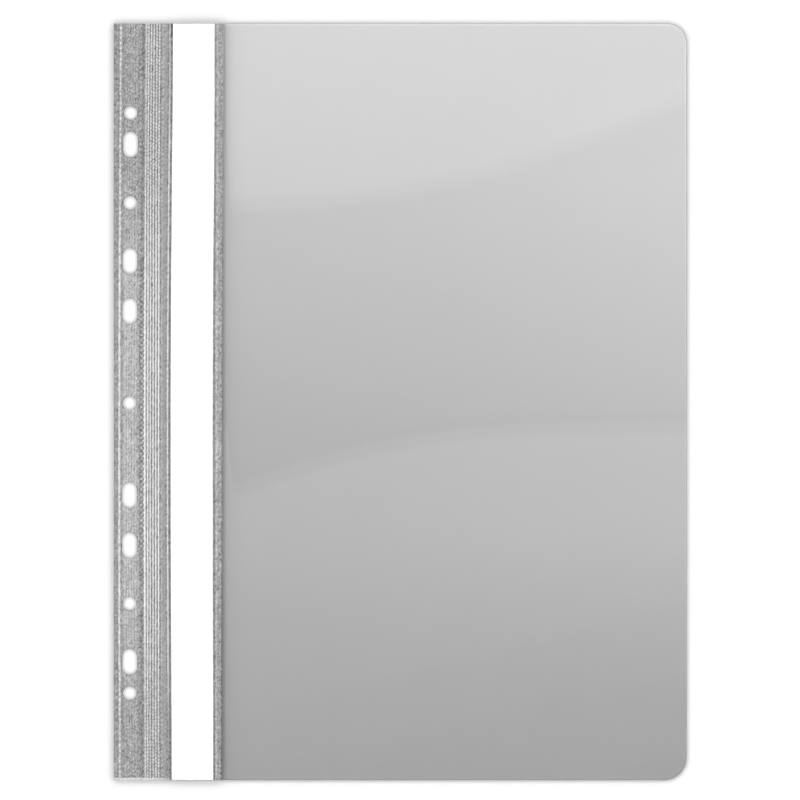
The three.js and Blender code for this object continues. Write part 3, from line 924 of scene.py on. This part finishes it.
# ---------------------------------------------------------------- stage: the soft box the film mirrors
CARD_H = 1.45
K = 1 + CARD_H / DIST
card = mesh_object("softbox", [(-0.9, -0.8, 0), (0.9, -0.8, 0), (0.9, 0.8, 0), (-0.9, 0.8, 0)],
                   [(0, 3, 2, 1)])
card.location = (VIEW_X * MM, VIEW_Y * MM, CARD_H)
cm, nt = new_material("stage_softbox")
out = node(nt, "ShaderNodeOutputMaterial")
em = node(nt, "ShaderNodeEmission")
nt.links.new(em.outputs[0], out.inputs["Surface"])
sep = node(nt, "ShaderNodeSeparateXYZ")
nt.links.new(node(nt, "ShaderNodeTexCoord").outputs["Object"], sep.inputs[0])
# where on the file the camera sees this point of the soft box mirrored, in steps of the 800 px frame
px = maths(nt, "MULTIPLY_ADD", sep.outputs["X"], PXMM / MM / K, 400.0)
py = maths(nt, "MULTIPLY_ADD", sep.outputs["Y"], -PXMM / MM / K, 400.0)


def ramp_between(value, a, b, va, vb):
    n = node(nt, "ShaderNodeMapRange", clamp=True)
    for i, v in enumerate((a, b, va, vb)):
        n.inputs[i + 1].default_value = v
    nt.links.new(value, n.inputs[0])
    return n.outputs[0]


def smooth_between(value, a, b, va, vb):
    n = node(nt, "ShaderNodeMapRange", interpolation_type="SMOOTHSTEP", clamp=True)
    for i, v in enumerate((a, b, va, vb)):
        n.inputs[i + 1].default_value = v
    nt.links.new(value, n.inputs[0])
    return n.outputs[0]


GLOSS = 0.412                       # what film and sheet send back of it, all told
level = ramp_between(py, -60.0, 172.0, 0.325, 0.250)
level = maths(nt, "ADD", level, ramp_between(py, 172.0, 430.0, 0.0, -0.117))
level = maths(nt, "ADD", level, ramp_between(py, 430.0, 520.0, 0.0, -0.020))
level = maths(nt, "ADD", level, ramp_between(py, 520.0, 770.0, 0.0, -0.108))
# The film mirrors the arcs sharply and the sheet behind it mirrors a tenth of them blurred.


def step(level, value, off, wide, size):
    sharp = smooth_between(value, off - wide, off + wide, 0.0, 1.1)
    broad = smooth_between(value, off - 80.0, off + 80.0, 0.0, 0.1)
    return maths(nt, "ADD", level, maths(nt, "MULTIPLY", maths(nt, "SUBTRACT", sharp, broad), size))


# upper arc: paler above it, in two steps
dx = maths(nt, "SUBTRACT", px, 227.0)
arc = maths(nt, "SUBTRACT", 203.0, maths(nt, "MULTIPLY", maths(nt, "MULTIPLY", dx, dx), 5.1e-4))
over = maths(nt, "SUBTRACT", py, arc)
level = maths(nt, "ADD", level, ramp_between(px, 240.0, 560.0, 0.052, 0.036))
for off, wide, share in ((-3.5, 1.5, 0.46), (9.0, 2.5, 0.54)):
    level = step(level, over, off, wide, ramp_between(px, 240.0, 560.0, -0.052 * share, -0.036 * share))
# lower arc: a faint dark line, then paler below it
ex = maths(nt, "SUBTRACT", 600.0, px)
ex = maths(nt, "MINIMUM", maths(nt, "MAXIMUM", ex, 0.0), 400.0)
arc2 = maths(nt, "MULTIPLY_ADD", maths(nt, "POWER", ex, 2.374), 5.26e-5, 433.0)
below = maths(nt, "SUBTRACT", py, arc2)
for off, wide, share in ((-11.0, 1.5, 0.42), (2.0, 1.2, 0.58)):
    level = step(level, below, off, wide, ramp_between(px, 240.0, 640.0, 0.040 * share, 0.033 * share))
level = maths(nt, "ADD", level, maths(nt, "MULTIPLY", smooth_between(below, -24.0, -11.0, 0.0, -0.009),
                                      smooth_between(below, -11.5, -9.0, 1.0, 0.0)))
# two fainter ones low down, darker below them
for x0, y0, rise, bend, drop in ((227.0, 716.0, 0.205, 1.1e-4, -0.005), (385.0, 741.0, 0.215, 0.6e-4, -0.004)):
    dx = maths(nt, "SUBTRACT", px, x0)
    curve = maths(nt, "SUBTRACT", y0, maths(nt, "ADD", maths(nt, "MULTIPLY", dx, rise),
                                            maths(nt, "MULTIPLY", maths(nt, "MULTIPLY", dx, dx), bend)))
    level = step(level, maths(nt, "SUBTRACT", py, curve), 0.0, 1.5, drop)
level = maths(nt, "ADD", level, smooth_between(py, 540.0, 620.0, 0.0, -0.010))
level = maths(nt, "ADD", level, smooth_between(py, 680.0, 770.0, 0.0, 0.010))
level = maths(nt, "ADD", level, maths(nt, "MULTIPLY", smooth_between(py, 360.0, 460.0, 1.0, 0.1),
                                      maths(nt, "MULTIPLY", smooth_between(py, 60.0, 110.0, 0.0, 1.0),
                                            ramp_between(px, 450.0, 690.0, 0.0, 0.018))))
# paler to the right
tilt = maths(nt, "ADD", smooth_between(py, 110.0, 230.0, 0.055, 0.125), smooth_between(py, 560.0, 760.0, 0.0, -0.10))
tilt = maths(nt, "ADD", tilt, smooth_between(py, 340.0, 440.0, 0.0, 0.06))
aside = ramp_between(px, 170.0, 730.0, -1.2, 1.2)
level = maths(nt, "MULTIPLY", level, maths(nt, "MULTIPLY_ADD", aside, tilt, 1.0))
level = maths(nt, "MAXIMUM", level, 0.004)
nt.links.new(maths(nt, "MULTIPLY", level, 1.0 / GLOSS), em.inputs["Strength"])
card.data.materials.append(cm)
card.visible_camera = False
card.visible_diffuse = False
card.visible_shadow = False

# ---------------------------------------------------------------- studio light: a soft ring all round
world = bpy.data.worlds.new("studio")
bpy.context.scene.world = world
world.use_nodes = True
nt = world.node_tree
nt.nodes.clear()
out = node(nt, "ShaderNodeOutputWorld")
bg = node(nt, "ShaderNodeBackground")
nt.links.new(bg.outputs[0], out.inputs["Surface"])
sep = node(nt, "ShaderNodeSeparateXYZ")
nt.links.new(node(nt, "ShaderNodeTexCoord").outputs["Generated"], sep.inputs[0])
ring = node(nt, "ShaderNodeValToRGB")
ring.color_ramp.interpolation = "EASE"
stops = [(0.0, 0.03), (0.15, 0.08), (0.25, 1.0), (0.54, 1.0), (0.66, 0.06), (0.78, 0.03), (0.9, 0.02)]
el = ring.color_ramp.elements
el[0].position, el[0].color = stops[0][0], (stops[0][1],) * 3 + (1,)
el[1].position, el[1].color = stops[-1][0], (stops[-1][1],) * 3 + (1,)
for p, v in stops[1:-1]:
    e = el.new(p)
    e.color = (v, v, v, 1)
nt.links.new(sep.outputs["Z"], ring.inputs[0])
path = node(nt, "ShaderNodeLightPath")
RING = 4.181
strength = maths(nt, "MULTIPLY", ring.outputs[0], RING)
strength = maths(nt, "MULTIPLY", strength, maths(nt, "MULTIPLY_ADD", path.outputs["Is Glossy Ray"], -0.55, 1.0))
mixed = maths(nt, "ADD", maths(nt, "MULTIPLY", strength, maths(nt, "SUBTRACT", 1.0, path.outputs["Is Camera Ray"])),
              maths(nt, "MULTIPLY", path.outputs["Is Camera Ray"], 1.0))
nt.links.new(mixed, bg.inputs["Strength"])

scene = bpy.context.scene
scene.view_settings.view_transform = "Standard"
scene.view_settings.look = "None"
scene.view_settings.exposure = 0.0
scene.view_settings.gamma = 1.0
